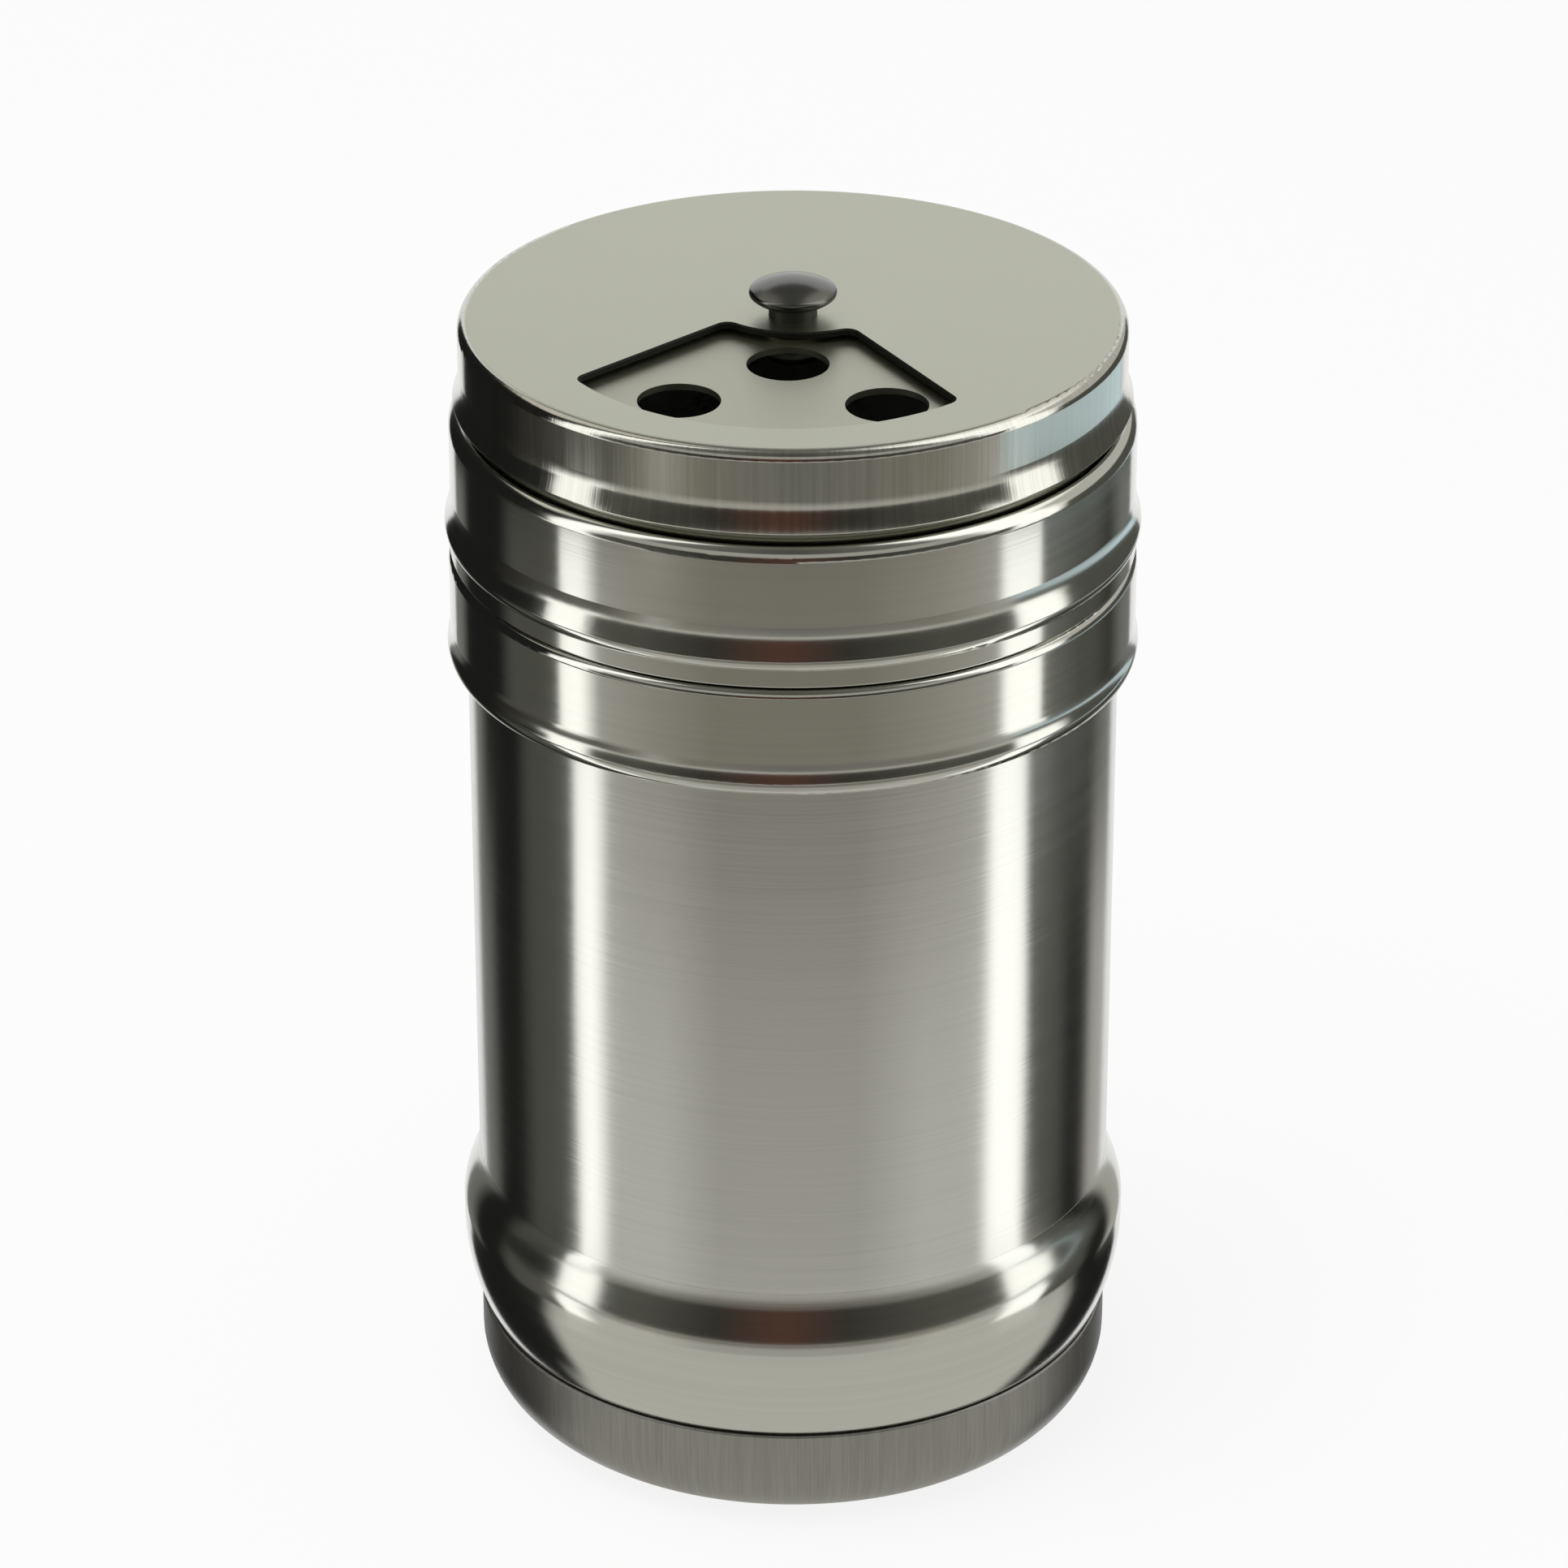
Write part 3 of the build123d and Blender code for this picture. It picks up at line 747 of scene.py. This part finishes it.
start = neck_low.z + NECK_FLANGE + ABOVE_SHOULDER
neck_thread = thread(
    "neck_thread",
    NECK_WALL_RADIUS,
    crest=NECK_CREST,
    start_height=start,
    width=RIDGE_WIDTH,
    finish=finishes["neck_ring"],
)
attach(neck_thread, "jar")
insert_thread = thread(
    "insert_thread",
    INSERT_BORE_RADIUS,
    crest=-INSERT_CREST,
    start_height=start + PITCH / 2,
    width=RIDGE_WIDTH,
    finish=finishes["thread_insert"],
)
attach(insert_thread, "lid")
print("threads with crests", round(NECK_CREST * 1000, 2), "and", round(INSERT_CREST * 1000, 2), "mm high")

# %% [markdown]
# ## The studio
#
# Polished steel has hardly any colour of its own: it shows what stands round it. Such a piece is
# therefore lit on a pale table, in a tent of cards. The table in front gives the calm middle, a white
# gap at each side gives the long highlights, and dark cloth beyond them gives the contrast at the
# edges. Here the tent is one mesh that glows, and it shows in the steel's reflections only, so the
# floor and the background stay plain.


# %% Rays that show a background
def seen_rays(graph):
    """1 for rays that show a background: straight to the camera, in a reflection or through glass."""
    ways = ("Is Camera Ray", "Is Glossy Ray", "Is Transmission Ray")
    straight, mirrored, passed = [graph.node("ShaderNodeLightPath", {}, {}, output=way) for way in ways]
    return soft_step(graph, straight + mirrored + passed, low=0.0, high=1.0)


print("background rays are told apart")

# %% Floor
FLOOR_REACH = 8.0
FLOOR_DROP = 0.00005      # so that the foot doesn't share its plane
FLOOR_COLOUR = (0.94, 0.94, 0.93)
FLOOR_GLOW = 0.85         # share of plain white in the floor as the camera sees it
WHITE_LIGHT = (1, 1, 1, 1)


def floor_finish():
    made, graph = material("studio_floor")
    patches = clouds(graph, size=0.15)
    paper = graph.node(
        "ShaderNodeBsdfPrincipled",
        {},
        {
            "Base Color": tinted(graph, FLOOR_COLOUR, amount=0.01, by=patches),
            "Roughness": 0.75 + patches * 0.1,
            "Specular IOR Level": 0.0,
        },
    )
    white = graph.node("ShaderNodeEmission", {}, {"Color": WHITE_LIGHT, "Strength": 1.0})
    finish_with(graph, mixed(graph, seen_rays(graph) * FLOOR_GLOW, paper, white))
    return made


def stage_sheet(name, vertices, faces, finish):
    """A sheet of the studio, which isn't part of the shaker."""
    made = mesh_object(name, vertices, faces, finish)
    return made


directions = ((-1, -1), (1, -1), (1, 1), (-1, 1))
corners = [(x * FLOOR_REACH, y * FLOOR_REACH, -FLOOR_DROP) for x, y in directions]
stage_sheet("floor", corners, [(0, 1, 2, 3)], floor_finish())

# %% World
SKY_LIGHT = 0.62

world = bpy.data.worlds.new("studio")
world.use_nodes = True
bpy.context.scene.world = world
sky = Graph(world.node_tree, "sky")
backdrop = sky.node("ShaderNodeBackground", {}, {"Color": WHITE_LIGHT, "Strength": 1.0})
light = sky.node("ShaderNodeBackground", {}, {"Color": WHITE_LIGHT, "Strength": SKY_LIGHT})
sky.node("ShaderNodeOutputWorld", {}, {"Surface": mixed(sky, seen_rays(sky), light, backdrop)})
world.cycles.sampling_method = "NONE"     # so that the tent hides the sky behind it from the steel
print("the sky lights the shaker with", SKY_LIGHT, "of plain white")

# %% [markdown]
# ## The tent of cards
#
# A wall that is turned by an angle from the front mirrors what lies at twice that angle. So the tent is
# laid out by the turn of the steel wall: each belt of it, from the table up to the canopy, gets its
# tones as stops round the shaker. Between two stops the tone changes evenly, so stops that lie close
# together make a sharp edge.

# %% Tones
BLACK, DARK, DIM = (0.015, 0.015, 0.014), (0.10, 0.10, 0.088), (0.2, 0.2, 0.185)
GREY, PALE, LIGHT = (0.27, 0.255, 0.215), (0.48, 0.47, 0.43), (0.64, 0.63, 0.58)
WHITE, CREAM, BLUISH = (1.7, 1.7, 1.65), (0.8, 0.78, 0.68), (0.72, 0.88, 0.93)
SHADE, RUST, SOFT = (0.045, 0.043, 0.036), (0.10, 0.05, 0.036), (0.37, 0.355, 0.31)
print("tones run from", min(BLACK), "to", max(WHITE))

# %% The table's belts: turns of the steel wall in degrees, and the tone there
TABLE_BELTS = {
    "under the bulge": [
        (-90, BLACK), (-58, BLACK), (-50, LIGHT), (0, LIGHT), (52, LIGHT), (60, BLACK), (90, BLACK),
    ],
    "by the foot": [
        (-90, BLACK), (-50, BLACK), (-46, LIGHT), (0, LIGHT), (54, LIGHT), (59, BLACK), (90, BLACK),
    ],
    "table": [
        (-90, DIM), (-72, DIM), (-67, BLACK), (-59, BLACK), (-54, DARK), (-43, DARK), (-42.5, WHITE),
        (-38.5, WHITE), (-35, LIGHT), (-24, LIGHT), (-14, PALE), (0, PALE), (12, PALE), (24, LIGHT),
        (36, LIGHT), (38.5, WHITE), (46.5, WHITE), (47, DARK), (56, DARK), (60, BLACK), (66, BLACK),
        (70, PALE), (90, PALE),
    ],
    "far table": [
        (-90, DIM), (-74, DIM), (-70, BLACK), (-58, BLACK), (-54, DARK), (-42.5, DARK), (-42, WHITE),
        (-37.5, WHITE), (-34, PALE), (-24, SOFT), (-13, GREY), (0, GREY), (11, GREY), (24, SOFT),
        (36, PALE), (38, WHITE), (45.5, WHITE), (46, DIM), (56, DARK), (60, DARK), (66, SHADE),
        (72, DIM), (90, DIM),
    ],
    "dim table": [
        (-90, BLACK), (-58, BLACK), (-50, SHADE), (-38, DARK), (-33, DARK), (-27, GREY), (-23, PALE),
        (-17, GREY), (0, DIM), (25, GREY), (37, PALE), (40, DARK), (90, DARK),
    ],
    "table by the window": [
        (-90, BLACK), (-58, BLACK), (-50, SHADE), (-38, DARK), (-33, DARK), (-27, GREY), (-23, PALE),
        (-17, GREY), (0, DIM), (25, GREY), (37, PALE), (40, BLUISH), (76, BLUISH), (80, DARK), (90, DARK),
    ],
    "table's edge": [
        (-90, BLACK), (-55, BLACK), (-45, DARK), (-42, WHITE), (-35, WHITE), (-30, LIGHT), (0, LIGHT),
        (37, LIGHT), (39, WHITE), (46, WHITE), (50, DARK), (90, DARK),
    ],
}
print("the table has", len(TABLE_BELTS), "belts")

# %% The belts that stand up behind the table
WALL_BELTS = {
    "dark cloth": [
        (-90, BLACK), (-42.5, BLACK), (-41.5, WHITE), (-35, WHITE), (-33, DARK), (-25, DARK), (-13, SHADE),
        (-3, RUST), (0, RUST), (9, SHADE), (25, DARK), (37, DARK), (38, WHITE), (47, WHITE), (49, DARK),
        (90, DARK),
    ],
    "wall": [
        (-90, BLACK), (-43, BLACK), (-41, WHITE), (-35, WHITE), (-31, DARK), (-12, SHADE), (-3, RUST),
        (0, RUST), (8, SHADE), (31, DARK), (35, WHITE), (46, WHITE), (50, LIGHT), (78, LIGHT), (82, DARK),
        (90, DARK),
    ],
    "upper wall": [
        (-90, BLACK), (-43, BLACK), (-41, WHITE), (-35, WHITE), (-31, PALE), (0, PALE), (31, PALE),
        (35, WHITE), (46, WHITE), (50, LIGHT), (78, LIGHT), (82, DARK), (90, DARK),
    ],
    "canopy": [
        (-90, DARK), (-68, CREAM), (-54, CREAM), (-48, DARK), (-43, DARK), (-41, WHITE), (-33, WHITE),
        (-28, DIM), (0, DARK), (28, DIM), (33, WHITE), (50, WHITE), (78, CREAM), (90, DARK),
    ],
    "overhead": [(-90, DIM), (90, DIM)],
}
BELTS = {**TABLE_BELTS, **WALL_BELTS}
print("the tent has", len(BELTS), "belts")

# %% The tent's outline, from the foot outwards and up
TENT_START = 0.0266       # just outside the shaker's widest hem
OUTLINE = [               # distance from the start, height, belt
    (-0.006, 0.0, "under the bulge"),
    (0.001, 0.0, "under the bulge"),
    (0.006, 0.0, "by the foot"),
    (0.025, 0.0, "by the foot"),
    (0.030, 0.0, "table"),
    (0.080, 0.0, "table"),
    (0.112, 0.0, "far table"),
    (0.177, 0.0, "far table"),
    (0.179, 0.0, "dim table"),
    (0.185, 0.0, "dim table"),
    (0.187, 0.0, "table by the window"),
    (0.212, 0.0, "table by the window"),
    (0.217, 0.0, "dim table"),
    (0.26, 0.0, "dim table"),
    (0.31, 0.0, "table's edge"),
    (0.38, 0.0, "table's edge"),
    (0.385, 0.0, "dark cloth"),
    (0.386, 0.122, "dark cloth"),
    (0.387, 0.132, "wall"),
    (0.388, 0.175, "wall"),
    (0.388, 0.19, "upper wall"),
    (0.388, 0.37, "upper wall"),
    (0.37, 0.41, "canopy"),
    (0.19, 0.58, "canopy"),
    (0.03, 0.64, "overhead"),
    (-0.70, 0.64, "overhead"),
]
print("the tent's outline has", len(OUTLINE), "points")

# %% Where a point of the tent lies, and its tone
TENT_LIFT = 0.0002        # above the floor, so that the two never meet


def tone_at(stops, turn):
    """The tone of a belt at a turn of the steel wall, evenly between its stops."""
    for (low, first), (high, second) in zip(stops, stops[1:]):
        if turn <= high:
            share = (turn - low) / (high - low)
            return [a + (b - a) * share for a, b in zip(first, second)]


def tent_point(turn, distance, height):
    """Where a level view that meets the round wall at this turn goes on to, at a distance from the wall."""
    angle = radians(turn)
    beside = Vector((sin(angle), -cos(angle), 0)) * TENT_START
    beyond = Vector((sin(2 * angle), -cos(2 * angle), 0)) * distance
    return beside + beyond + Vector((0, 0, height + TENT_LIFT))


def tent_finish():
    """Cloth that glows with its own tone."""
    made, graph = material("tent_cloth")
    tone = graph.node("ShaderNodeVertexColor", {"layer_name": "tone"}, {}, output="Color")
    shader = graph.node(
        "ShaderNodeBsdfPrincipled",
        {},
        {
            "Base Color": (0, 0, 0, 1),
            "Roughness": 1.0,
            "Specular IOR Level": 0.0,
            "Emission Color": tone,
            "Emission Strength": 1.0,
        },
    )
    finish_with(graph, shader)
    return made


print("the tent starts", round(TENT_START * 1000, 1), "mm from the axis")

# %% Sew the tent
TENT_STEP = 2             # degrees of the wall between the tent's columns
TENT_TURN = 78            # the turn of the wall where the tent ends, on both sides

even_turns = set(range(-TENT_TURN, TENT_TURN + 1, TENT_STEP))
stop_turns = {turn for stops in BELTS.values() for turn, _ in stops if abs(turn) <= TENT_TURN}
turns = sorted(even_turns | stop_turns)
tent_vertices, tones = [], []
for turn in turns:
    for distance, height, belt in OUTLINE:
        tent_vertices.append(tent_point(turn, distance, height))
        tones += [*tone_at(BELTS[belt], turn), 1.0]
rows = len(OUTLINE)
tent_faces = [
    (column * rows + row, (column + 1) * rows + row, (column + 1) * rows + row + 1, column * rows + row + 1)
    for column in range(len(turns) - 1)
    for row in range(rows - 1)
]
tent = stage_sheet("card_tent", tent_vertices, tent_faces, tent_finish())
tent.data.color_attributes.new("tone", "FLOAT_COLOR", "POINT").data.foreach_set("color", tones)
tent.visible_camera = tent.visible_diffuse = tent.visible_shadow = tent.visible_transmission = False
print("tent of", len(turns), "by", rows, "points")

# %% [markdown]
# ## The lamp
#
# One large soft lamp above gives the floor its shadow and lights the plastic and the silicone. The
# steel doesn't mirror it, because the tent alone draws the highlights.

# %% Overhead lamp
LAMP_SIZE = 0.6
LAMP_PLACE = Vector((-0.25, -0.15, 0.9))
LAMP_POWER = 3.2

lamp_data = bpy.data.lights.new("overhead", "AREA")
lamp_data.size, lamp_data.energy = LAMP_SIZE, LAMP_POWER
lamp = bpy.data.objects.new("overhead", lamp_data)
bpy.context.scene.collection.objects.link(lamp)
lamp.location = LAMP_PLACE
lamp.visible_glossy = False
lamp.rotation_mode = "QUATERNION"
lamp.rotation_quaternion = (-LAMP_PLACE).to_track_quat("-Z", "Y")
print("lamp of", LAMP_POWER, "W")

# %% [markdown]
# ## The camera
#
# A long lens from about half a metre, looking down at the shaker. The small shifts place it in the
# frame without turning the camera.

# %% Camera
CAMERA_DISTANCE = 0.5125
CAMERA_TILT = 27.4        # degrees down from level
AIM_HEIGHT = 0.0493
IMAGE_SIDE = 1932
FOCAL_PIXELS = 8230       # the lens, in widths of one pixel
SENSOR = 36.0
AIM_PIXEL = (977, 1000)   # where the aim is in the image, from its left and its top
NEAREST, FARTHEST = 0.01, 50.0

camera_data = bpy.data.cameras.new("camera")
camera_data.sensor_width = SENSOR
camera_data.lens = SENSOR * FOCAL_PIXELS / IMAGE_SIDE
camera_data.shift_x = (IMAGE_SIDE / 2 - AIM_PIXEL[0]) / IMAGE_SIDE
camera_data.shift_y = (AIM_PIXEL[1] - IMAGE_SIDE / 2) / IMAGE_SIDE
camera_data.clip_start, camera_data.clip_end = NEAREST, FARTHEST
camera = bpy.data.objects.new("camera", camera_data)
bpy.context.scene.collection.objects.link(camera)
tilt = radians(CAMERA_TILT)
back = Vector((0, -cos(tilt), sin(tilt)))
camera.location = Vector((0, 0, AIM_HEIGHT)) + back * CAMERA_DISTANCE
camera.rotation_mode = "QUATERNION"
camera.rotation_quaternion = (-back).to_track_quat("-Z", "Y")
bpy.context.scene.camera = camera
bpy.context.scene.view_settings.view_transform = "Standard"
print("lens", round(camera_data.lens, 1), "mm")
